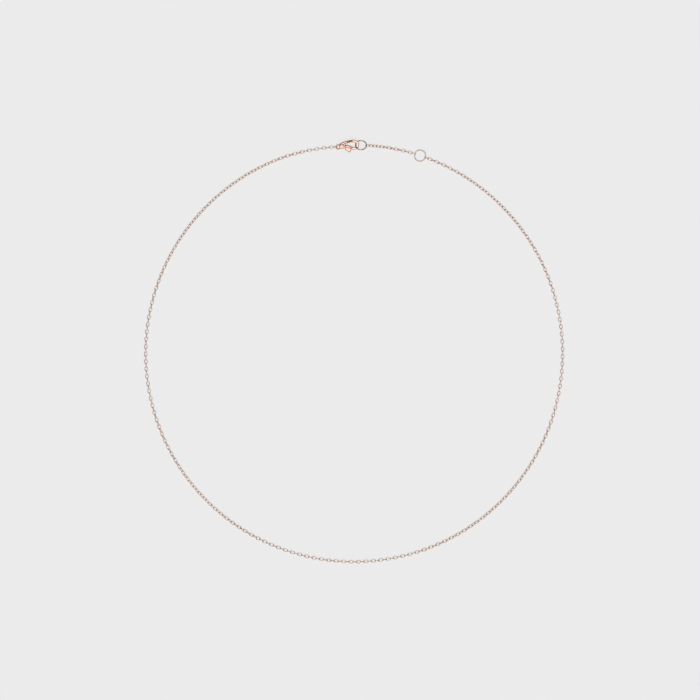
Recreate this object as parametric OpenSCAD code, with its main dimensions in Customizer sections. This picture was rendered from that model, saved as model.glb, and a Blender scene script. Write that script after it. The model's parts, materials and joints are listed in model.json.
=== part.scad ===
// Fine cable-chain necklace, closed and laid in a circle, with a trigger clasp and a short extender.
// Millimetres. +Z is up from the surface it lies on, the origin is the centre of the circle on that
// surface, and the clasp's hook holds the end ring at 12 o'clock (+Y). Clockwise from there come the
// end ring, the extender, the adjusting ring and the main chain, which ends in the clasp's eye.

/* [Chain] */
// Length once round the closed necklace, along the middle of the chain
loop_len = 450; // [375:5:540]
// Diameter of the wire that the links are bent from
wire_d = 0.28; // [0.22:0.01:0.34]
// Width of a link over its outside
link_w = 1.20; // [1.05:0.01:1.5]
// Radius of a link's round ends, at the middle of the wire
end_r = 0.43; // [0.36:0.01:0.45]
// Free play between one link's wire and the next
play = 0.07; // [0.05:0.01:0.1]

/* [Rings] */
// Outside diameter of the end ring and of the adjusting ring
ring_od = 4.2; // [3.5:0.1:5.1]
// Diameter of the rings' wire
ring_wire = 0.38; // [0.3:0.01:0.42]
// Lean of the end ring about the chain's line, with its outer side down
end_ring_lean = 30; // [28:1:40]
// How far the end ring's middle sits outside the clasp's line of pull
end_ring_rise = 0.40; // [0.3:0.05:0.6]
// Lean of the adjusting ring about the chain's line
adjusting_ring_lean = 10; // [0:1:12]

/* [Clasp] */
// Distance from where the chain pulls on the eye to where the end ring pulls on the hook
reach = 6.4; // [5.8:0.1:7.7]
// How far inside the circle the line of pull hangs, because the clasp is heavier than the chain
clasp_dip = 0.5; // [0:0.1:0.8]
// Roll of the clasp about its line of pull, with the spine up and the thumb tab down
clasp_lean = 16; // [16:1:30]
// Thickness over the two cheeks that hold the trigger
clasp_t = 1.8; // [1.6:0.1:2.2]
// Outside diameter of the hook's bow
hook_od = 3.44; // [3.2:0.02:3.8]
// Width of the hook's bar, seen from above
hook_w = 0.85; // [0.75:0.05:0.9]
// Thickness of the hook's bar
hook_t = 0.55; // [0.45:0.05:0.6]
// How far the middle of the bow sits outside the line of pull
hook_rise = 0.55; // [0.4:0.05:0.7]
// Width of the spine between the eye and the hook
spine_w = 0.80; // [0.7:0.05:0.9]
// Thickness of the spine
spine_t = 1.30; // [1:0.05:1.5]
// Outside diameter of the eye that the chain is linked to
eye_od = 1.85; // [1.7:0.05:2.2]
// Thickness of the eye's round bar
eye_bar = 0.45; // [0.35:0.01:0.46]
// Diameter of the trigger's pivot pin
pin_d = 0.50; // [0.4:0.05:0.6]
// Thickness of the trigger's thumb lever
lever_t = 1.10; // [0.9:0.05:1.3]
// Thickness of the trigger's hub, between the cheeks
hub_t = 0.60; // [0.5:0.05:0.8]

/* [Hidden] */
// Round faces
bar_fn = 32;
turn_fn = 96;

// The circle, divided into equal steps of one link each
loop_r = loop_len / (2 * PI);
half_steps = 176;
step = loop_len / (2 * half_steps);

// The main chain is cut into runs that mirror each other left and right. A cut counts steps
// clockwise from 12 o'clock: the first is at the adjusting ring, and side_cut and half_steps are
// at the circle's side and at its foot.
first_cut = 19;
side_cut = half_steps / 2;
back_runs = 9;
front_runs = 11;
right_cuts = concat(
    [for (m = [0 : back_runs]) round(first_cut + (side_cut - first_cut) * m / back_runs)],
    [for (m = [1 : front_runs]) side_cut + (half_steps - side_cut) * m / front_runs]
);
side_runs = back_runs + front_runs;
cuts = concat(right_cuts, [for (m = [1 : side_runs]) 2 * half_steps - right_cuts[side_runs - m]]);
run_count = 2 * side_runs + 1;

// A link's centreline: two end arcs of end_r joined by two long shallow arcs
link_a = (step + wire_d + play) / 2;
link_b = (link_w - wire_d) / 2;
side_r = (pow(link_a - end_r, 2) + pow(link_b, 2) - pow(end_r, 2)) / (2 * (link_b - end_r));
side_half = atan2(link_a - end_r, side_r - link_b);

// Height of the main chain's centreline, and the rings' radius at the middle of their wire
chain_z = link_w / 2;
ring_r = (ring_od - ring_wire) / 2;

// Distances round the circle from 12 o'clock, where the end ring's wire lies in the hook. A ring's
// wire passes its neighbour's end by ring_lap, as two links' ends pass each other.
ring_lap = (ring_wire + play) / 2;
extender_from = 2 * ring_r - ring_lap;
adjusting_right = first_cut * step + ring_lap;
adjusting_mid = adjusting_right - ring_r;
extender_to = adjusting_right - 2 * ring_r + ring_lap;
eye_at = 2 * half_steps * step - reach;
last_cut_at = cuts[2 * side_runs] * step;

// Both short stretches hold an even number of links, no further apart than those of the main chain
extender_links = 2 * ceil((extender_to - extender_from) / (2 * step));
extender_pitch = (extender_to - extender_from) / extender_links;
eye_links = 2 * ceil((eye_at - last_cut_at) / (2 * step) - 0.05);
eye_pitch = (eye_at - last_cut_at) / eye_links;

// The clasp, with X along the line of pull from the eye, Y away from the circle's centre and Z = 0
// at mid-thickness
eye_r = (eye_od - eye_bar) / 2;
eye_x = eye_r - (eye_bar + play) / 2;
hook_play = 0.25;
hook_r = (hook_od - hook_w) / 2;
hook_x = reach + ring_wire / 2 + hook_play - (hook_od / 2 - hook_w);
hook_from = -120;
hook_to = 106;
spine_bow = 11;
spine_proud = 0.03;
spine_mid_r = spine_bow - spine_w / 2;
spine_y = hook_rise + hook_od / 2 + spine_proud - spine_bow;
spine_from = asin((hook_x - eye_x - 1.25 * eye_r) / spine_mid_r);
spine_to = asin(0.12 * hook_od / spine_mid_r);
pivot_x = 0.29 * hook_x;
pivot_y = 0.13;
cheek_r = 0.80;
hub_r = 0.50;
thumb_y = hook_rise - hook_od / 2 - 0.83;
slot_gap = 0.06;
pin_gap = 0.03;
pin_seat_gap = 0.01;

// The trigger's lever starts outside the cheeks. Its top and foot there are heights in the clasp.
lever_x = pivot_x + 1.2 * cheek_r;
lever_top = pivot_y + 0.45;
lever_foot = pivot_y - 1.08;

// Height of the clasp's line of pull: the lowest at which its cheek, its thumb tab and the end ring
// all clear the surface. The end ring's middle lies on the clasp's rolled plane.
ring_climb = end_ring_rise * tan(clasp_lean);
clasp_z = max(
    (cheek_r - pivot_y) * sin(clasp_lean) + clasp_t / 2 * cos(clasp_lean),
    -thumb_y * sin(clasp_lean) + lever_t / 2 * cos(clasp_lean),
    ring_r * sin(end_ring_lean) + ring_wire / 2 - ring_climb
);
end_ring_z = clasp_z + ring_climb;
end_ring_out = end_ring_rise - clasp_dip;

rose_gold = [0.80, 0.60, 0.52];

function run_name(k) = str("chain_run_", k < 10 ? "0" : "", k);

// Roll of the links about the chain's line, in degrees, at an angle clockwise from 12 o'clock: the
// chain lies square at the top, the foot and both sides, and turns over once down the left front
function roll_at(angle) =
    angle < 180 ? 22.5 * (1 - cos(4 * angle))
    : angle < 270 ? 45 * (1 - cos(2 * angle))
    : 90 - 22.5 * (1 - cos(4 * angle));

// A point at a radius on the hook's open end, moved a gap clear of it
function nose_point(radius, gap) = [
    hook_x + radius * cos(hook_from) + gap * sin(hook_from),
    hook_rise + radius * sin(hook_from) - gap * cos(hook_from)
];

// Puts a piece on the circle, or outside it, at a distance clockwise from 12 o'clock, with X along
// the chain and Y outwards
module on_circle(at, height, outside = 0) {
    rotate([0, 0, -at / loop_r * 180 / PI]) translate([0, loop_r + outside, height]) children();
}

// An arc of round bar in the XY plane
module bent_bar(radius, bar, from, sweep) {
    rotate([0, 0, from])
        rotate_extrude(angle = sweep, $fn = turn_fn)
            translate([radius, 0]) circle(d = bar, $fn = bar_fn);
}

// One closed oval link, lying flat with its length along X
module link() {
    union() {
        for (side = [-1, 1]) {
            translate([side * (link_a - end_r), 0, 0])
                bent_bar(end_r, wire_d, 90 * (1 - side) - 90 + side_half, 180 - 2 * side_half);
            translate([0, side * (link_b - side_r), 0])
                bent_bar(side_r, wire_d, 90 * side - side_half, 2 * side_half);
        }
    }
}

// A link at its place on the circle, leaning down the slope and rolled about the chain's line
module linked(at, height, slope, roll, outside = 0) {
    on_circle(at, height, outside) rotate([0, slope, 0]) rotate([roll, 0, 0]) link();
}

// One run of the main chain. The last run climbs, turns and hangs in to meet the clasp's eye squarely.
module chain_run(k) {
    first = cuts[k - 1];
    color(rose_gold) {
        if (k < run_count) {
            for (i = [first : cuts[k] - 1]) {
                at = (i + 0.5) * step;
                linked(at, chain_z, 0, 90 * (i % 2) + roll_at(at / loop_r * 180 / PI));
            }
        } else {
            climb = (clasp_z - chain_z) / eye_links;
            for (j = [0 : eye_links - 1]) {
                at = last_cut_at + (j + 0.5) * eye_pitch;
                inside = clasp_dip * (j + 0.5) / eye_links;
                turned = clasp_lean * (j + 1) / eye_links;
                roll = 90 * ((first + j) % 2) + roll_at(at / loop_r * 180 / PI) + turned;
                linked(at, chain_z + (j + 0.5) * climb, -atan(climb / eye_pitch), roll, -inside);
            }
        }
    }
}

// Half of the extender: links from number first to number last, counted from the end ring. The
// extender comes down and in from the end ring's middle and turns back once on its way.
module extender_run(first, last) {
    drop = (end_ring_z - chain_z) / extender_links;
    turn = (adjusting_ring_lean + end_ring_lean - 90) / (extender_links - 1);
    color(rose_gold) {
        for (j = [first : last]) {
            at = extender_from + (j + 0.5) * extender_pitch;
            left = 1 - (j + 0.5) / extender_links;
            roll = 90 * (j + 1) - end_ring_lean + j * turn;
            height = chain_z + left * (end_ring_z - chain_z);
            linked(at, height, atan(drop / extender_pitch), roll, left * end_ring_out);
        }
    }
}

// A soldered round ring, leaning about the chain's line
module ring(mid, height, lean, outside = 0) {
    color(rose_gold)
        on_circle(mid, height, outside) rotate([lean, 0, 0]) bent_bar(ring_r, ring_wire, 0, 360);
}

// Carries the clasp's pieces to the line between its two points of pull, and rolls them about it
module at_clasp() {
    sag = loop_r * (1 - cos(reach / 2 / loop_r * 180 / PI));
    on_circle(-reach / 2, clasp_z, -clasp_dip)
        translate([-reach / 2, -sag, 0]) rotate([clasp_lean, 0, 0]) children();
}

// A plate of an outline, centred on the clasp's mid-thickness
module plate(thick) {
    translate([0, 0, -thick / 2]) linear_extrude(height = thick) children();
}

// The space that the trigger's hub and web turn in
module trigger_slot() {
    reach_x = 1.8 * cheek_r;
    plate(hub_t + 2 * slot_gap) union() {
        translate([pivot_x, pivot_y]) circle(r = hub_r + slot_gap, $fn = turn_fn);
        translate([pivot_x, pivot_y - 1.6 * cheek_r]) square([reach_x, 2.5 * cheek_r]);
    }
}

// Eye, spine, cheeks and hook, cast in one piece
module clasp_body() {
    edge = 0.18;
    root_x = eye_x + 0.74 * eye_r;
    root_y = 0.79 * eye_r;
    color(rose_gold) at_clasp() difference() {
        union() {
            translate([eye_x, 0, 0]) bent_bar(eye_r, eye_bar, 0, 360);
            translate([hook_x, hook_rise, 0]) rotate([0, 0, hook_from])
                rotate_extrude(angle = hook_to - hook_from, $fn = turn_fn)
                    translate([hook_r, 0]) hook_section();
            translate([hook_x, spine_y, 0]) rotate([0, 0, 90 + spine_to])
                rotate_extrude(angle = spine_from - spine_to, $fn = 4 * turn_fn)
                    translate([spine_mid_r, 0]) spine_section(edge);
            plate(spine_t) polygon([
                [root_x, -root_y],
                [pivot_x, pivot_y - 0.99 * cheek_r],
                [pivot_x, pivot_y + 0.99 * cheek_r],
                [eye_x + eye_r, 1.45 * eye_r],
                [root_x, root_y]
            ]);
            translate([pivot_x, pivot_y, 0])
                cylinder(h = clasp_t, r = cheek_r, center = true, $fn = turn_fn);
        }
        trigger_slot();
        translate([pivot_x, pivot_y, 0])
            cylinder(h = 2 * clasp_t, d = pin_d + 2 * pin_seat_gap, center = true, $fn = turn_fn);
    }
}

// Half-round edged section of the hook's bar
module hook_section() {
    union() {
        square([hook_w - hook_t, hook_t], center = true);
        for (side = [-1, 1]) translate([side * (hook_w - hook_t) / 2, 0]) circle(d = hook_t, $fn = bar_fn);
    }
}

// Section of the spine with its four edges taken off
module spine_section(edge) {
    w = spine_w / 2;
    t = spine_t / 2;
    polygon([
        [w - edge, -t], [w, edge - t], [w, t - edge], [w - edge, t],
        [edge - w, t], [-w, t - edge], [-w, edge - t], [edge - w, -t]
    ]);
}

// Spring-loaded lever that closes the hook's mouth, with a thumb tab on its outer edge
module clasp_trigger() {
    mouth_gap = 0.08;
    tip_in = nose_point(hook_r - hook_w / 2, mouth_gap);
    tip_out = nose_point(hook_r + hook_w / 2, mouth_gap);
    thumb = [hook_x - 1.46, thumb_y];
    color(rose_gold) at_clasp() difference() {
        union() {
            plate(hub_t) union() {
                translate([pivot_x, pivot_y]) circle(r = hub_r, $fn = turn_fn);
                polygon([
                    [pivot_x, pivot_y + 0.95 * hub_r],
                    [lever_x + 0.3, lever_top],
                    [lever_x + 0.3, lever_foot],
                    [pivot_x, pivot_y - 0.95 * hub_r]
                ]);
            }
            plate(lever_t) difference() {
                polygon([
                    [lever_x, lever_top],
                    [(lever_x + tip_in[0]) / 2 - 0.3, lever_top - 0.05],
                    tip_in,
                    tip_out,
                    [thumb[0] + 0.26, thumb[1] + 0.62],
                    thumb,
                    [thumb[0] - 0.48, thumb[1] + 0.08],
                    [lever_x + 0.75, lever_foot - 0.42],
                    [lever_x, lever_foot]
                ]);
                translate([pivot_x, pivot_y]) circle(r = cheek_r + slot_gap, $fn = turn_fn);
            }
        }
        translate([pivot_x, pivot_y, 0])
            cylinder(h = 2 * clasp_t, d = pin_d + 2 * pin_gap, center = true, $fn = turn_fn);
    }
}

// Riveted pin that the trigger turns on
module clasp_pivot_pin() {
    color(rose_gold) at_clasp() translate([pivot_x, pivot_y, 0])
        cylinder(h = clasp_t, d = pin_d, center = true, $fn = turn_fn);
}

// Bent leaf between the spine and the trigger
module clasp_spring() {
    leaf = 0.08;
    seat_gap = 0.07;
    leaf_w = 0.50;
    spring_x = lever_x + 0.3;
    spine_under = spine_y + sqrt(pow(spine_mid_r - spine_w / 2, 2) - pow(hook_x - spring_x, 2));
    spring_r = (spine_under - lever_top - leaf) / 2 - seat_gap;
    color("silver") at_clasp() translate([spring_x, (spine_under + lever_top) / 2, 0])
        rotate([0, 0, 45])
            rotate_extrude(angle = 270, $fn = turn_fn)
                translate([spring_r, 0]) square([leaf, leaf_w], center = true);
}

clasp_body();
clasp_trigger();
clasp_pivot_pin();
clasp_spring();
ring(ring_r, end_ring_z, -end_ring_lean, end_ring_out);  // end_ring
ring(adjusting_mid, chain_z, adjusting_ring_lean);  // adjusting_ring
extender_run(0, extender_links / 2 - 1);  // extender_run_1
extender_run(extender_links / 2, extender_links - 1);  // extender_run_2
for (k = [1 : run_count]) {
    chain_run(k);
}
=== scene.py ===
import json
import math

import bpy
import numpy as np
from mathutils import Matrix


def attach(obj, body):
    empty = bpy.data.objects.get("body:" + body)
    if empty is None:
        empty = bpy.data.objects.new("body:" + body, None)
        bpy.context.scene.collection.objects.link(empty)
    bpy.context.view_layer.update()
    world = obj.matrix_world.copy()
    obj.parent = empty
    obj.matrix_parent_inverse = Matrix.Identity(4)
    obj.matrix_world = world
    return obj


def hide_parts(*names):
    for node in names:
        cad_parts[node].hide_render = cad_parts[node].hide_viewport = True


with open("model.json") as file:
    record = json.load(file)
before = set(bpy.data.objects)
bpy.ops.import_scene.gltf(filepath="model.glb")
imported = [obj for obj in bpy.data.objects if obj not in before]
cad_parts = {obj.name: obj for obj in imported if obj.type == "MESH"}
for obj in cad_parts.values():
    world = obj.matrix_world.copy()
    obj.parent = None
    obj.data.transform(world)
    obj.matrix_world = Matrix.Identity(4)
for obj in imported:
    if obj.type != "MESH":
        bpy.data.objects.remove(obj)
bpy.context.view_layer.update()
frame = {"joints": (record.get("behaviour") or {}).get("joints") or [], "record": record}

# ---------------------------------------------------------------------------------------------
# Main chain
# Oval links bent from drawn wire, each threaded through the next and soldered shut, then barrel
# polished. They ride in short runs on the sections between the chain's hinges.
# ---------------------------------------------------------------------------------------------
MM = 0.001
joints = {joint["name"]: joint for joint in frame["joints"]}
bodies = frame["record"]["behaviour"]["bodies"]
body_of = {node: body for body, nodes in bodies.items() for node in nodes}
foot = np.array(joints["squeeze_176"]["pos_m"])
loop_r = -foot[1] / MM
chain_z = foot[2] / MM
half_steps = 176
step = math.pi * loop_r / half_steps
wire_d = 0.28
link_w = 2 * chain_z
end_r = 0.43
play = 0.07


def link_points(stations, sides):
    """Surface of one link lying flat with its length along X, as stations x sides points.

    The centreline is two end arcs of end_r joined by two long shallow arcs that meet them
    smoothly. At each station a circle of the wire's diameter stands square to it:
    p = line + full * wire_d / 2 * (out * cos(t) + up * sin(t)), where full sets the corners of
    the coarse circle as far outside the round wire as the flats between them lie inside it.
    """
    full = 2 / (1 + math.cos(math.pi / sides))
    a = (step + wire_d + play) / 2
    b = (link_w - wire_d) / 2
    side_r = ((a - end_r) ** 2 + b**2 - end_r**2) / (2 * (b - end_r))
    side_half = math.atan2(a - end_r, side_r - b)
    quarter = stations // 4
    end = np.linspace(side_half - math.pi / 2, math.pi / 2 - side_half, quarter + 1)
    side = np.linspace(math.pi / 2 - side_half, math.pi / 2 + side_half, quarter + 1)[1:-1]
    turn = np.concatenate([end, side, end + math.pi, side + math.pi])
    on_end = np.abs(np.cos(turn)) >= math.sin(side_half) - 1e-9
    middle_x = np.where(on_end, np.sign(np.cos(turn)) * (a - end_r), 0)
    middle_y = np.where(on_end, 0, np.sign(np.sin(turn)) * (b - side_r))
    radius = np.where(on_end, end_r, side_r)
    out = np.stack([np.cos(turn), np.sin(turn), np.zeros(len(turn))], 1)
    line = np.stack([middle_x, middle_y, np.zeros(len(turn))], 1) + radius[:, None] * out
    t = np.arange(sides) * 2 * math.pi / sides
    up = np.array([0, 0, 1])
    round_wire = out[:, None] * np.cos(t)[None, :, None] + up * np.sin(t)[None, :, None]
    return line[:, None] + full * wire_d / 2 * round_wire


def closed_quads(rows, columns):
    """Quads of a grid that joins up both ways, wound so that they face out of a carried profile."""
    i, j = np.meshgrid(np.arange(rows), np.arange(columns), indexing="ij")
    ahead = (i + 1) % rows
    beside = (j + 1) % columns
    corners = [i * columns + j, ahead * columns + j, ahead * columns + beside, i * columns + beside]
    return np.stack(corners, -1).reshape(-1, 4)


def about(axis, degrees):
    """Rotation matrices about X, Y or Z, one for each angle."""
    angle = np.radians(np.atleast_1d(degrees).astype(float))
    turned = np.zeros((len(angle), 3, 3))
    first, second = {"x": (1, 2), "y": (2, 0), "z": (0, 1)}[axis]
    turned[:, 3 - first - second, 3 - first - second] = 1
    turned[:, first, first] = np.cos(angle)
    turned[:, second, second] = np.cos(angle)
    turned[:, first, second] = -np.sin(angle)
    turned[:, second, first] = np.sin(angle)
    return turned


def on_circle(points, at, height, slope, roll, outside=0):
    """Copies of points, one for each place: rolled about X, sloped about Y, moved to the circle's
    radius and height, and turned about Z to a distance clockwise from 12 o'clock."""
    local = points.reshape(-1, 3)
    place = np.stack([0 * at, loop_r + outside + 0 * at, height + 0 * at], 1)
    turned = about("y", slope + 0 * at) @ about("x", roll)
    moved = np.einsum("kab,nb->kna", turned, local) + place[:, None]
    return np.einsum("kab,knb->kna", about("z", -np.degrees(at / loop_r)), moved)


def shell_object(name, points, faces):
    """A smooth-shaded mesh object from points in millimetres in the frame of the part."""
    mesh = bpy.data.meshes.new(name)
    mesh.from_pydata((points.reshape(-1, 3) * MM).tolist(), [], [list(face) for face in faces])
    mesh.polygons.foreach_set("use_smooth", np.ones(len(mesh.polygons), bool))
    mesh.update()
    piece = bpy.data.objects.new(name, mesh)
    bpy.context.scene.collection.objects.link(piece)
    return piece


def linear(hex_colour):
    """An sRGB hex colour as linear RGBA."""
    channels = [int(hex_colour[i : i + 2], 16) / 255 for i in (1, 3, 5)]
    return [c / 12.92 if c <= 0.04045 else ((c + 0.055) / 1.055) ** 2.4 for c in channels] + [1]


def add(tree, kind, settings=None, **links):
    """A new node of a kind with its settings. Each link is a socket or a plain value."""
    node = tree.nodes.new(kind)
    for key, value in (settings or {}).items():
        setattr(node, key, value)
    for key, value in links.items():
        socket = node.inputs[int(key[1:])] if key[1:].isdigit() else node.inputs[key.replace("_", " ")]
        if isinstance(value, bpy.types.NodeSocket):
            tree.links.new(value, socket)
        else:
            socket.default_value = value
    return node


def rose_gold(name, tones, rough, lap_mm, bump_mm):
    """Rose-gold plate: warm pink mirror between two tones, with a polish that wanders by a few
    hundredths of roughness over lap_mm and a surface that lies within bump_mm of true."""
    material = bpy.data.materials.new(name)
    material.use_nodes = True
    tree = material.node_tree
    tree.nodes.clear()
    coordinates = add(tree, "ShaderNodeTexCoord").outputs["Object"]
    lap = add(tree, "ShaderNodeTexNoise", Vector=coordinates, Scale=1 / (lap_mm * MM), Detail=3.0)
    fine = add(tree, "ShaderNodeTexNoise", Vector=coordinates, Scale=8 / (lap_mm * MM), Detail=2.0)
    polish = add(tree, "ShaderNodeMapRange", Value=lap.outputs["Fac"], i3=rough * 0.75, i4=rough * 1.4)
    tone = add(tree, "ShaderNodeValToRGB", Fac=lap.outputs["Fac"])
    tone.color_ramp.elements[0].position = 0.3
    tone.color_ramp.elements[0].color = linear(tones[0])
    tone.color_ramp.elements[1].position = 0.7
    tone.color_ramp.elements[1].color = linear(tones[1])
    bump = add(tree, "ShaderNodeBump", Height=fine.outputs["Fac"], Strength=0.25, Distance=bump_mm * MM)
    metal = add(
        tree,
        "ShaderNodeBsdfPrincipled",
        Base_Color=tone.outputs["Color"],
        Metallic=1.0,
        Roughness=polish.outputs["Result"],
        Normal=bump.outputs["Normal"],
    )
    add(tree, "ShaderNodeOutputMaterial", Surface=metal.outputs["BSDF"])
    return material


# Bright-dipped wire: each link's polish differs a little from the next one's
wire_tones = ("#eacdbf", "#f8e0d4")
chain_gold = rose_gold("rose_gold_polished_wire", wire_tones, rough=0.26, lap_mm=1.1, bump_mm=0.004)
link_stations = 12
link_sides = 6
link = link_points(link_stations, link_sides)
link_faces = closed_quads(link_stations, link_sides)


def add_links(name, node, copies):
    """One object of copies of the link, which rides on its body and stands for a CAD node."""
    faces = link_faces[None] + np.arange(len(copies))[:, None, None] * len(link_faces)
    piece = shell_object(name, copies, faces.reshape(-1, 4))
    piece.data.materials.append(chain_gold)
    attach(piece, body_of[node])
    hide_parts(node)


def roll_at(degrees):
    """Roll of the links by their place round the circle. They lie square at the top, foot and
    sides. In a quarter they swing out and back, 22.5 * (1 - cos(4 * place)), but down the left
    front they turn over once, 45 * (1 - cos(2 * place))."""
    swing = 22.5 * (1 - np.cos(np.radians(4 * degrees)))
    over = 45 * (1 - np.cos(np.radians(2 * degrees)))
    return np.where(degrees < 180, swing, np.where(degrees < 270, over, 90 - swing))


first_cut = 19
side_cut = half_steps // 2
back_runs = 9
front_runs = 11
back = [round(first_cut + (side_cut - first_cut) * m / back_runs) for m in range(back_runs + 1)]
front = [side_cut + (half_steps - side_cut) * m // front_runs for m in range(1, front_runs + 1)]
right_cuts = back + front
cuts = right_cuts + [2 * half_steps - cut for cut in reversed(right_cuts[:-1])]
for k in range(1, len(cuts)):
    number = np.arange(cuts[k - 1], cuts[k])
    at = (number + 0.5) * step
    roll = 90 * (number % 2) + roll_at(np.degrees(at / loop_r))
    copies = on_circle(link, at, chain_z, 0, roll)
    add_links(f"links_{k:02d}", f"chain_run_{k:02d}", copies)

# The last run climbs, turns and hangs in to meet the clasp's eye squarely
reach = 6.4
eye_pull = np.array(joints["clasp_roll"]["pos_m"]) / MM
pivot_axis = np.array(joints["trigger_pivot"]["axis"])
clasp_lean = math.degrees(math.acos(pivot_axis[2]))
eye_inside = loop_r - math.hypot(eye_pull[0], eye_pull[1])
eye_at = 2 * math.pi * loop_r - reach
last_at = cuts[-1] * step
eye_links = 2 * math.ceil((eye_at - last_at) / (2 * step) - 0.05)
eye_pitch = (eye_at - last_at) / eye_links
count = np.arange(eye_links)
at = last_at + (count + 0.5) * eye_pitch
climb = (eye_pull[2] - chain_z) / eye_links
turned = clasp_lean * (count + 1) / eye_links
roll = 90 * ((cuts[-1] + count) % 2) + roll_at(np.degrees(at / loop_r)) + turned
height = chain_z + (count + 0.5) * climb
slope = -math.degrees(math.atan(climb / eye_pitch))
copies = on_circle(link, at, height, slope, roll, -eye_inside * (count + 0.5) / eye_links)
add_links("links_41", "chain_run_41", copies)

# ---------------------------------------------------------------------------------------------
# End ring and adjusting ring
# Round wire bent once round a mandrel and soldered shut. The seam is a slight swelling in the wire,
# filed almost flush.
# ---------------------------------------------------------------------------------------------
ring_od = 4.2
ring_wire = 0.38
ring_r = (ring_od - ring_wire) / 2
mounts = {mount["name"]: mount for mount in frame["record"]["mounts"]}


def ring_points(stations, sides, seam_at):
    """Round ring in the XY plane: a circle of wire carried round a circle of ring_r. The wire's
    radius swells by 7% at the seam and falls off as exp(-(distance / seam length)**2)."""
    turn = np.arange(stations) * 2 * math.pi / stations
    from_seam = (turn - seam_at + math.pi) % (2 * math.pi) - math.pi
    seam_half = 0.22
    swelling = 0.07
    wire = ring_wire / 2 * (1 + swelling * np.exp(-((from_seam * ring_r / seam_half) ** 2)))
    t = np.arange(sides) * 2 * math.pi / sides
    out = np.stack([np.cos(turn), np.sin(turn), 0 * turn], 1)
    up = np.array([0, 0, 1])
    section = out[:, None] * np.cos(t)[None, :, None] + up * np.sin(t)[None, :, None]
    return ring_r * out[:, None] + wire[:, None, None] * section


# Painted shade: the rings are the same rose-gold plate as the chain, but their tones are set darker and
# greyer to stand in for the dim room that their polished wire reflects.
ring_tones_painted_shade = ("#b9a69c", "#cbbab1")
ring_gold_painted_shade = rose_gold("rose_gold_ring_painted_shade", ring_tones_painted_shade, rough=0.12, lap_mm=1.4, bump_mm=0.005)
ring_stations = 96
ring_sides = 20
ring_places = {}
for node, joint, mount, side in [
    ("end_ring", "end_ring_tilt", "end_ring_eye", -1),
    ("adjusting_ring", "adjusting_ring_tilt", "adjusting_ring_eye", 1),
]:
    middle = np.array(joints[joint]["pos_m"]) / MM
    lean = side * math.degrees(math.acos(mounts[mount]["axis"][2]))
    at = loop_r * math.atan2(middle[0], middle[1])
    outside = math.hypot(middle[0], middle[1]) - loop_r
    ring_places[node] = (middle[2], lean, outside)
    seam_at = math.radians(205 if node == "end_ring" else 40)
    points = ring_points(ring_stations, ring_sides, seam_at)
    placed = on_circle(points, np.array([at]), middle[2], 0, lean, outside)
    piece = shell_object(node + "_wire", placed, closed_quads(ring_stations, ring_sides))
    piece.data.materials.append(ring_gold_painted_shade)
    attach(piece, node)
    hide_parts(node)

# ---------------------------------------------------------------------------------------------
# Extender
# Fourteen of the same links between the two rings. It comes down and in from the end ring's
# middle and turns back once on its way.
# ---------------------------------------------------------------------------------------------
end_z, end_lean, end_outside = ring_places["end_ring"]
adjusting_lean = ring_places["adjusting_ring"][1]
ring_lap = (ring_wire + play) / 2
extender_from = 2 * ring_r - ring_lap
extender_to = first_cut * step - 2 * ring_r + 2 * ring_lap
extender_links = 2 * math.ceil((extender_to - extender_from) / (2 * step))
extender_pitch = (extender_to - extender_from) / extender_links
drop = (end_z - chain_z) / extender_links
turn_each = (adjusting_lean - end_lean - 90) / (extender_links - 1)
for half in (0, 1):
    count = np.arange(extender_links // 2) + half * extender_links // 2
    at = extender_from + (count + 0.5) * extender_pitch
    left = 1 - (count + 0.5) / extender_links
    roll = 90 * (count + 1) + end_lean + count * turn_each
    height = chain_z + left * (end_z - chain_z)
    slope = math.degrees(math.atan(drop / extender_pitch))
    copies = on_circle(link, at, height, slope, roll, left * end_outside)
    add_links(f"extender_links_{half + 1}", f"extender_run_{half + 1}", copies)

# ---------------------------------------------------------------------------------------------
# Clasp body
# Eye, neck, spine, two cheeks and hook in one lost-wax casting, tumbled until its edges are
# round, plated and polished. The trigger's slot and the pin's hole are cut into it afterwards.
# ---------------------------------------------------------------------------------------------
clasp_t = 1.8
hook_od = 3.44
hook_w = 0.85
hook_t = 0.55
hook_rise = 0.55
hook_play = 0.25
spine_w = 0.80
spine_t = 1.30
spine_bow = 11
spine_proud = 0.03
eye_od = 1.85
eye_bar = 0.45
cheek_r = 0.80
hub_r = 0.50
hub_t = 0.60
slot_gap = 0.06
pin_d = 0.50
pin_seat_gap = 0.01

clasp_x = np.array(joints["clasp_roll"]["axis"])
clasp_axes = np.stack([clasp_x, np.cross(pivot_axis, clasp_x), pivot_axis])
pivot_x, pivot_y, _ = clasp_axes @ (np.array(joints["trigger_pivot"]["pos_m"]) / MM - eye_pull)
eye_r = (eye_od - eye_bar) / 2
eye_x = eye_r - (eye_bar + play) / 2
hook_r = (hook_od - hook_w) / 2
hook_x = reach + ring_wire / 2 + hook_play - (hook_od / 2 - hook_w)
hook_from = -120
hook_to = 106
hook_edge = 0.27
spine_start = 92
spine_edge = 0.34
thin_from = 0.3
thin_run = 2.2
neck_edge = 0.32
cheek_edge = 0.26
casting_fillet = 0.10
neck_fillet = 0.12
eye_fillet = 0.16
cut_edge = 0.03
spine_r = spine_bow - spine_w / 2
spine_y = hook_rise + hook_od / 2 + spine_proud - spine_bow
spine_from = math.degrees(math.asin((hook_x - eye_x - 1.25 * eye_r) / spine_r))


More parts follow.
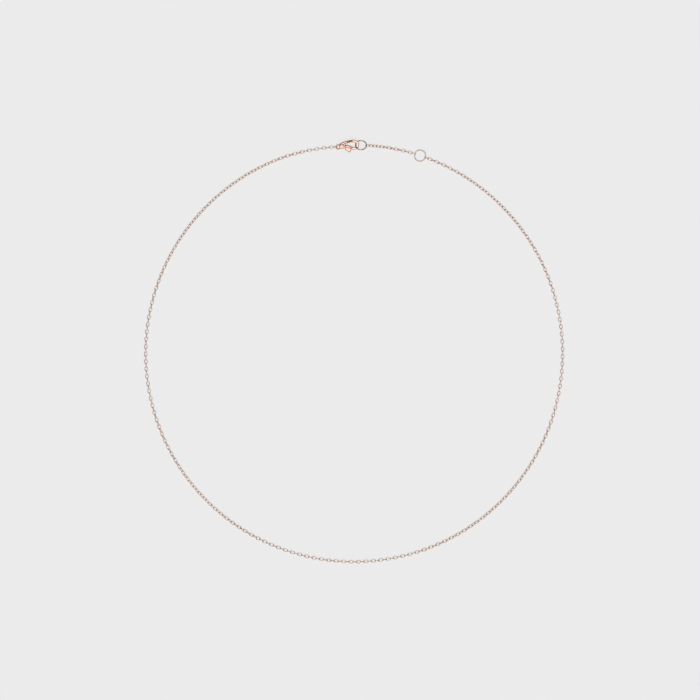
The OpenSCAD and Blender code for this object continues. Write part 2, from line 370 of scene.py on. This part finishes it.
def outline(x, y, corners):
    """Signed distance in the plane to a closed outline, negative inside: the shortest distance to
    its edges, whose sign changes with each edge that lies to one side of the point."""
    nearest = np.full(np.shape(x), np.inf)
    sign = np.ones(np.shape(x))
    for (ax, ay), (bx, by) in zip(corners, corners[1:] + corners[:1]):
        ex, ey = bx - ax, by - ay
        along = np.clip(((x - ax) * ex + (y - ay) * ey) / (ex**2 + ey**2), 0, 1)
        nearest = np.minimum(nearest, (x - ax - along * ex) ** 2 + (y - ay - along * ey) ** 2)
        above_a, below_b = y >= ay, y < by
        left_of = ex * (y - ay) > ey * (x - ax)
        flips = (above_a & below_b & left_of) | (~above_a & ~below_b & ~left_of)
        sign = np.where(flips, -sign, sign)
    return sign * np.sqrt(nearest)


def arc_bar(x, y, centre, radius, start, stop, half_w):
    """Signed distance in the plane to a bar of half-width half_w along an arc, with round ends."""
    dx, dy = x - centre[0], y - centre[1]
    middle, half_span = math.radians((start + stop) / 2), math.radians((stop - start) / 2)
    turned = (np.arctan2(dy, dx) - middle + math.pi) % (2 * math.pi) - math.pi
    held = np.clip(turned, -half_span, half_span) + middle
    nearest_x, nearest_y = radius * np.cos(held), radius * np.sin(held)
    return np.hypot(dx - nearest_x, dy - nearest_y) - half_w


def raised(plan, z, half, edge):
    """Distance to a plan carried up and down to half a thickness, with its edges rounded to edge."""
    a = plan + edge
    b = np.abs(z) - half + edge
    return np.minimum(np.maximum(a, b), 0) + np.hypot(np.maximum(a, 0), np.maximum(b, 0)) - edge


def joined(a, b, fillet):
    """Both shapes with a fillet where they meet: the smaller distance, less
    fillet * h * (1 - h), where h runs from 0 to 1 across the meeting."""
    h = np.clip(0.5 + 0.5 * (b - a) / fillet, 0, 1)
    return b + (a - b) * h - fillet * h * (1 - h)


def cut(a, b, fillet):
    """The first shape less the second, with the edge between them eased."""
    return -joined(-a, b, fillet)


def skin(shape, low, high, pitch):
    """Points and quads of the smooth closed surface on which shape(x, y, z) is zero.

    The shape is sampled on a grid. Each cell that the surface crosses holds one point, and each
    grid edge that it crosses gives one quad between the four cells round that edge. The points
    then step on to the surface: p -= f * grad f / |grad f|**2.
    """
    axes = [np.arange(a, b + pitch, pitch) for a, b in zip(low, high)]
    inside = shape(*np.meshgrid(*axes, indexing="ij")) < 0
    corners = sum(
        inside[i : i - 1 or None, j : j - 1 or None, k : k - 1 or None].astype(int)
        for i in (0, 1) for j in (0, 1) for k in (0, 1)
    )
    crossed = (corners > 0) & (corners < 8)
    label = np.full(crossed.shape, -1)
    label[crossed] = np.arange(crossed.sum())
    points = np.argwhere(crossed) * pitch + np.array([a[0] for a in axes]) + pitch / 2
    quads = []
    for axis in range(3):
        first, second = (axis + 1) % 3, (axis + 2) % 3
        near = np.take(inside, np.arange(inside.shape[axis] - 1), axis)
        far = np.take(inside, np.arange(1, inside.shape[axis]), axis)
        edges = np.argwhere(near != far)
        leaves = near[tuple(edges.T)]
        round_edge = []
        for back_first, back_second in ((1, 1), (0, 1), (0, 0), (1, 0)):
            cell = edges.copy()
            cell[:, first] -= back_first
            cell[:, second] -= back_second
            round_edge.append(label[tuple(cell.T)])
        quad = np.stack(round_edge, 1)
        quads.append(np.where(leaves[:, None], quad, quad[:, ::-1]))
    tiny = pitch / 50
    for _ in range(6):
        value = shape(*points.T)
        slope = np.stack([
            (shape(*(points + tiny * d).T) - shape(*(points - tiny * d).T)) / (2 * tiny)
            for d in np.eye(3)
        ], 1)
        move = -slope * (value / np.maximum((slope**2).sum(1), 0.1))[:, None]
        length = np.linalg.norm(move, axis=1, keepdims=True)
        points = points + move * np.minimum(1, pitch / 2 / np.maximum(length, 1e-9))
    return points, np.concatenate(quads)


neck = [
    (eye_x + 0.74 * eye_r, -0.79 * eye_r),
    (pivot_x, pivot_y - 0.99 * cheek_r),
    (pivot_x, pivot_y + 0.99 * cheek_r),
    (eye_x + eye_r, 1.45 * eye_r),
    (eye_x + 0.74 * eye_r, 0.79 * eye_r),
]
slot_box = [
    (pivot_x, pivot_y - 1.6 * cheek_r),
    (pivot_x + 1.8 * cheek_r, pivot_y - 1.6 * cheek_r),
    (pivot_x + 1.8 * cheek_r, pivot_y + 0.9 * cheek_r),
    (pivot_x, pivot_y + 0.9 * cheek_r),
]


def clasp_shape(x, y, z):
    """The casting: a round eye, then neck, spine, cheeks and hook as raised plans with rounded
    edges, all filleted together, less the slot and the pin's hole. The spine thins to the hook's
    thickness over thin_run."""
    from_pivot = np.hypot(x - pivot_x, y - pivot_y)
    eye = np.hypot(np.hypot(x - eye_x, y) - eye_r, z) - eye_bar / 2
    bow = arc_bar(x, y, (hook_x, hook_rise), hook_r, hook_from, hook_to, hook_w / 2)
    hook = raised(bow, z, hook_t / 2, hook_edge)
    spine_stop = 90 + spine_from
    spine_plan = arc_bar(x, y, (hook_x, spine_y), spine_r, spine_start, spine_stop, spine_w / 2)
    thinned = np.clip((hook_x - thin_from - x) / thin_run, 0, 1)
    spine = raised(spine_plan, z, hook_t / 2 + (spine_t - hook_t) / 2 * thinned, spine_edge)
    body = joined(spine, hook, casting_fillet)
    body = joined(body, raised(outline(x, y, neck), z, spine_t / 2, neck_edge), neck_fillet)
    body = joined(body, raised(from_pivot - cheek_r, z, clasp_t / 2, cheek_edge), casting_fillet)
    body = joined(body, eye, eye_fillet)
    slot_plan = np.minimum(outline(x, y, slot_box), from_pivot - hub_r - slot_gap)
    body = cut(body, np.maximum(slot_plan, np.abs(z) - hub_t / 2 - slot_gap), cut_edge)
    return cut(body, from_pivot - pin_d / 2 - pin_seat_gap, cut_edge)


def clasp_object(name, points, faces):
    """A mesh object from points in the clasp's own frame: X along its line of pull from the eye,
    Y away from the circle, Z along the pin."""
    return shell_object(name, points @ clasp_axes + eye_pull, faces)


cast_tones = ("#c09683", "#d2ab99")
cast_gold = rose_gold("rose_gold_tumbled_casting", cast_tones, rough=0.14, lap_mm=0.9, bump_mm=0.012)
casting_low = (-1.0, -1.6, -1.1)
casting_high = (8.2, 2.8, 1.1)
casting_pitch = 0.06
points, faces = skin(clasp_shape, casting_low, casting_high, casting_pitch)
casting = clasp_object("clasp_casting", points, faces)
casting.data.materials.append(cast_gold)
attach(casting, "clasp")
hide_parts("clasp_body")

# ---------------------------------------------------------------------------------------------
# Trigger
# Cast lever that closes the hook's mouth: a hub on the pin, a tapering arm with a groove filed
# along both faces, and a thumb tab on its outer edge.
# ---------------------------------------------------------------------------------------------
lever_t = 1.10
mouth_gap = 0.08
pin_gap = 0.03
lever_x = pivot_x + 1.2 * cheek_r
lever_top = pivot_y + 0.45
lever_foot = pivot_y - 1.08


def nose_point(radius):
    """A point at a radius on the hook's open end, moved clear of it by mouth_gap."""
    turn = math.radians(hook_from)
    x = hook_x + radius * math.cos(turn) + mouth_gap * math.sin(turn)
    return x, hook_rise + radius * math.sin(turn) - mouth_gap * math.cos(turn)


tip_in = nose_point(hook_r - hook_w / 2)
tip_out = nose_point(hook_r + hook_w / 2)
thumb = (hook_x - 1.46, hook_rise - hook_od / 2 - 0.83)
arm = [
    (lever_x, lever_top),
    ((lever_x + tip_in[0]) / 2 - 0.3, lever_top - 0.05),
    tip_in,
    tip_out,
    (thumb[0] + 0.26, thumb[1] + 0.62),
    thumb,
    (thumb[0] - 0.48, thumb[1] + 0.08),
    (lever_x + 0.75, lever_foot - 0.42),
    (lever_x, lever_foot),
]
web = [
    (pivot_x, pivot_y + 0.95 * hub_r),
    (lever_x + 0.3, lever_top - 0.1),
    (lever_x + 0.3, lever_foot + 0.1),
    (pivot_x, pivot_y - 0.95 * hub_r),
]
groove = [(lever_x, pivot_y - 0.22), (tip_out[0] - 0.3, tip_out[1] + 0.42)]
groove_r = 0.15
hub_edge = 0.05
lever_edge = 0.36


def trigger_shape(x, y, z):
    """The lever: hub and web between the cheeks, and the arm with its edges rounded, less the
    cheeks' clearance, the pin's hole and a round-bottomed groove along each face."""
    from_pivot = np.hypot(x - pivot_x, y - pivot_y)
    hub = raised(np.minimum(from_pivot - hub_r, outline(x, y, web)), z, hub_t / 2, hub_edge)
    blade = raised(outline(x, y, arm), z, lever_t / 2, lever_edge)
    blade = cut(blade, from_pivot - cheek_r - slot_gap, 0.05)
    (ax, ay), (bx, by) = groove
    ex, ey = bx - ax, by - ay
    along = np.clip(((x - ax) * ex + (y - ay) * ey) / (ex**2 + ey**2), 0, 1)
    from_line = np.hypot(x - ax - along * ex, y - ay - along * ey)
    filed = np.hypot(from_line, np.abs(z) - lever_t / 2 - 0.02) - groove_r
    lever = joined(hub, cut(blade, filed, 0.04), 0.04)
    return cut(lever, from_pivot - pin_d / 2 - pin_gap, 0.02)


lever_low = (0.9, -2.4, -0.8)
lever_high = (6.6, 1.2, 0.8)
lever_pitch = 0.05
points, faces = skin(trigger_shape, lever_low, lever_high, lever_pitch)
lever = clasp_object("trigger_lever", points, faces)
lever.data.materials.append(cast_gold)
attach(lever, "trigger")
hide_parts("clasp_trigger")

# ---------------------------------------------------------------------------------------------
# Pivot pin
# A length of wire pushed through cheeks and trigger and riveted over. Its two ends are a little
# domed and sit just inside the cheeks' faces.
# ---------------------------------------------------------------------------------------------


def turned_points(radii, heights, sides):
    """A profile of radii and heights carried round the pin's axis. The first and last radius are
    zero, and each closes to one point."""
    t = np.arange(sides) * 2 * math.pi / sides
    x = pivot_x + radii[:, None] * np.cos(t)
    y = pivot_y + radii[:, None] * np.sin(t)
    return np.stack([x, y, heights[:, None] + 0 * x], -1)


def lathe_faces(rows, columns):
    """Faces of a closed lathe shape whose poles are the first and last point."""
    i, j = np.meshgrid(np.arange(rows - 1), np.arange(columns), indexing="ij")
    beside = (j + 1) % columns
    base = 1 + i * columns
    sides = np.stack([base + j, base + beside, base + columns + beside, base + columns + j], -1)
    ring = np.arange(columns)
    last = 1 + rows * columns
    low = np.stack([0 * ring, 1 + (ring + 1) % columns, 1 + ring], 1)
    top = last - columns
    high = np.stack([top + ring, top + (ring + 1) % columns, 0 * ring + last], 1)
    return sides.reshape(-1, 4).tolist() + low.tolist() + high.tolist()


dome = 0.05
pin_sides = 32
arc = np.linspace(0, 1, 7)[1:]
end_radii = pin_d / 2 * np.sin(arc * math.pi / 2)
end_heights = dome * (np.cos(arc * math.pi / 2) - 1)
radii = np.concatenate([end_radii, end_radii[::-1]])
heights = np.concatenate([-clasp_t / 2 - end_heights, (clasp_t / 2 + end_heights)[::-1]])
body_points = turned_points(radii, heights, pin_sides).reshape(-1, 3)
poles = np.array([[pivot_x, pivot_y, -clasp_t / 2], [pivot_x, pivot_y, clasp_t / 2]])
points = np.concatenate([poles[:1], body_points, poles[1:]])
pin = clasp_object("pivot_rivet", points, lathe_faces(len(radii), pin_sides))
# The rivet takes the rings' plate, whose darker, greyer tones are painted shade.
pin.data.materials.append(ring_gold_painted_shade)
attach(pin, "clasp")
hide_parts("clasp_pivot_pin")

# ---------------------------------------------------------------------------------------------
# Trigger spring
# Hardened steel strip rolled into an open C, wedged between the spine and the trigger's arm. It
# is dull grey beside the plated pieces.
# ---------------------------------------------------------------------------------------------
leaf_t = 0.08
leaf_w = 0.50
leaf_from = 48
leaf_edge = 0.03
leaf_pitch = 0.03
seat_gap = 0.07
spring_x = lever_x + 0.3
spine_under = spine_y + math.sqrt((spine_r - spine_w / 2) ** 2 - (hook_x - spring_x) ** 2)
spring_r = (spine_under - lever_top - leaf_t) / 2 - seat_gap
spring_y = (spine_under + lever_top) / 2


def leaf_shape(x, y, z):
    """A strip along three quarters of a circle, with its edges just broken."""
    leaf_to = 360 - leaf_from
    plan = arc_bar(x, y, (spring_x, spring_y), spring_r, leaf_from, leaf_to, leaf_t / 2)
    return raised(plan, z, leaf_w / 2, leaf_edge)


def spring_steel(name, grain_mm):
    """Blued-off spring strip: grey steel, satin, with a rolling grain grain_mm across the strip."""
    material = bpy.data.materials.new(name)
    material.use_nodes = True
    tree = material.node_tree
    tree.nodes.clear()
    coordinates = add(tree, "ShaderNodeTexCoord").outputs["Object"]
    grain = add(tree, "ShaderNodeTexNoise", Vector=coordinates, Scale=1 / (grain_mm * MM), Detail=3.0)
    satin = add(tree, "ShaderNodeMapRange", Value=grain.outputs["Fac"], i3=0.28, i4=0.5)
    tone = add(tree, "ShaderNodeValToRGB", Fac=grain.outputs["Fac"])
    tone.color_ramp.elements[0].color = linear("#8d8a87")
    tone.color_ramp.elements[1].color = linear("#b9b6b2")
    bump = add(tree, "ShaderNodeBump", Height=grain.outputs["Fac"], Strength=0.3, Distance=0.004 * MM)
    metal = add(
        tree,
        "ShaderNodeBsdfPrincipled",
        Base_Color=tone.outputs["Color"],
        Metallic=1.0,
        Roughness=satin.outputs["Result"],
        Normal=bump.outputs["Normal"],
    )
    add(tree, "ShaderNodeOutputMaterial", Surface=metal.outputs["BSDF"])
    return material


reach_out = spring_r + leaf_t
leaf_margin = 0.05
low = (spring_x - reach_out, spring_y - reach_out, -leaf_w / 2 - leaf_margin)
high = (spring_x + reach_out, spring_y + reach_out, leaf_w / 2 + leaf_margin)
points, faces = skin(leaf_shape, low, high, leaf_pitch)
leaf = clasp_object("spring_leaf", points, faces)
leaf.data.materials.append(spring_steel("spring_steel_strip", 0.2))
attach(leaf, "clasp")
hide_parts("clasp_spring")

# ---------------------------------------------------------------------------------------------
# Floor, light and camera
# A pale grey sweep of card. Most of its brightness is its own, so that the shadow on it stays
# faint. One wide soft light stands nearly overhead in a dim grey room, which gives polished wire
# its bright middle and darker flanks.
# ---------------------------------------------------------------------------------------------
floor_half = 3.0
floor_below = 0.005
card_glow = 0.692
corners = np.array([[-1, -1, 0], [1, -1, 0], [1, 1, 0], [-1, 1, 0]]) * floor_half / MM
floor = shell_object("floor_card", corners - [0, 0, floor_below], [[0, 1, 2, 3]])
card = bpy.data.materials.new("grey_card")
card.use_nodes = True
tree = card.node_tree
tree.nodes.clear()
coordinates = add(tree, "ShaderNodeTexCoord").outputs["Object"]
fibre = add(tree, "ShaderNodeTexNoise", Vector=coordinates, Scale=1 / (0.4 * MM), Detail=2.0)
matt = add(tree, "ShaderNodeBump", Height=fibre.outputs["Fac"], Strength=0.05, Distance=0.01 * MM)
paper = add(tree, "ShaderNodeBsdfDiffuse", Color=linear("#8c8c8c"), Normal=matt.outputs["Normal"])
path = add(tree, "ShaderNodeLightPath").outputs
either = {"operation": "MAXIMUM"}
mirrored = add(tree, "ShaderNodeMath", either, i0=path["Is Camera Ray"], i1=path["Is Glossy Ray"])
seen = add(tree, "ShaderNodeMath", either, i0=mirrored.outputs[0], i1=path["Is Transmission Ray"])
level = add(tree, "ShaderNodeMath", {"operation": "MULTIPLY"}, i0=seen.outputs[0], i1=card_glow)
glow = add(tree, "ShaderNodeEmission", Color=(1, 1, 1, 1), Strength=level.outputs[0])
both = add(tree, "ShaderNodeAddShader", i0=paper.outputs[0], i1=glow.outputs[0])
add(tree, "ShaderNodeOutputMaterial", Surface=both.outputs[0])
floor.data.materials.append(card)

world = bpy.data.worlds.new("dim_room")
bpy.context.scene.world = world
world.use_nodes = True
tree = world.node_tree
tree.nodes.clear()
room = add(tree, "ShaderNodeBackground", Color=linear("#808080"), Strength=1.0)
add(tree, "ShaderNodeOutputWorld", Surface=room.outputs[0])

softbox = bpy.data.lights.new("softbox", "SUN")
softbox.angle = math.radians(44)
softbox.energy = 1.05
softbox_holder = bpy.data.objects.new("softbox", softbox)
softbox_holder.rotation_euler = (math.radians(19), math.radians(-4), 0)
bpy.context.scene.collection.objects.link(softbox_holder)

lens = bpy.data.cameras.new("overhead_camera")
lens.lens = 100
lens.sensor_width = 36
view_width = 240.5
camera = bpy.data.objects.new("overhead_camera", lens)
height = view_width * lens.lens / lens.sensor_width + chain_z
aim_x = -1.44
aim_y = 1.16
camera_turn = 0.335
camera.location = (aim_x * MM, aim_y * MM, height * MM)
camera.rotation_euler = (0, 0, math.radians(camera_turn))
bpy.context.scene.collection.objects.link(camera)
bpy.context.scene.camera = camera
bpy.context.scene.view_settings.view_transform = "Standard"
